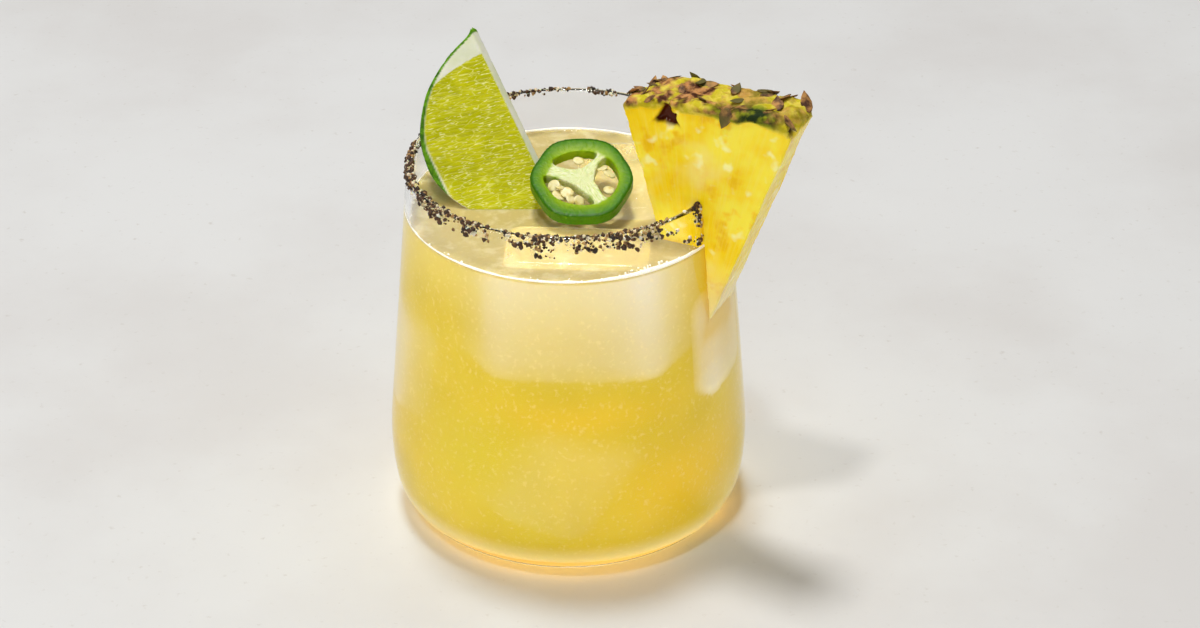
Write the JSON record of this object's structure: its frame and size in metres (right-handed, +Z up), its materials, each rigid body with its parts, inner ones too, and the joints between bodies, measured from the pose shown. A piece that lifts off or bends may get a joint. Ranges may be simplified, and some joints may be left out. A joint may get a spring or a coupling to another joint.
{
  "type": "margarita cocktail",
  "caption": "Cocktail in a stemless tumbler with a peppery salt rim, ice, a lime wedge, a jalapeno slice and a pineapple wedge slit over the rim.",
  "frame": {"origin": "centre of the tumbler's flat base, on the table", "axes": "+Z up along the tumbler's axis; -Y is the front, with the pineapple wedge towards +X and the lime wedge towards -X"},
  "size_m": [0.1009, 0.09, 0.1208],
  "materials": {
    "glass": "polished",
    "drink": "cloudy juice",
    "lime": "wet flesh",
    "jalapeno": "waxy skin",
    "pineapple": "moist flesh",
    "ice": "wet ice"
  },
  "bodies": {
    "root": {"glass": "glass", "drink": "drink", "lime_wedge": "lime", "jalapeno_slice": "jalapeno", "pineapple_wedge": "pineapple", "ice_cube_front": "ice", "ice_cube_under_slice": "ice"}
  },
  "joints": []
}
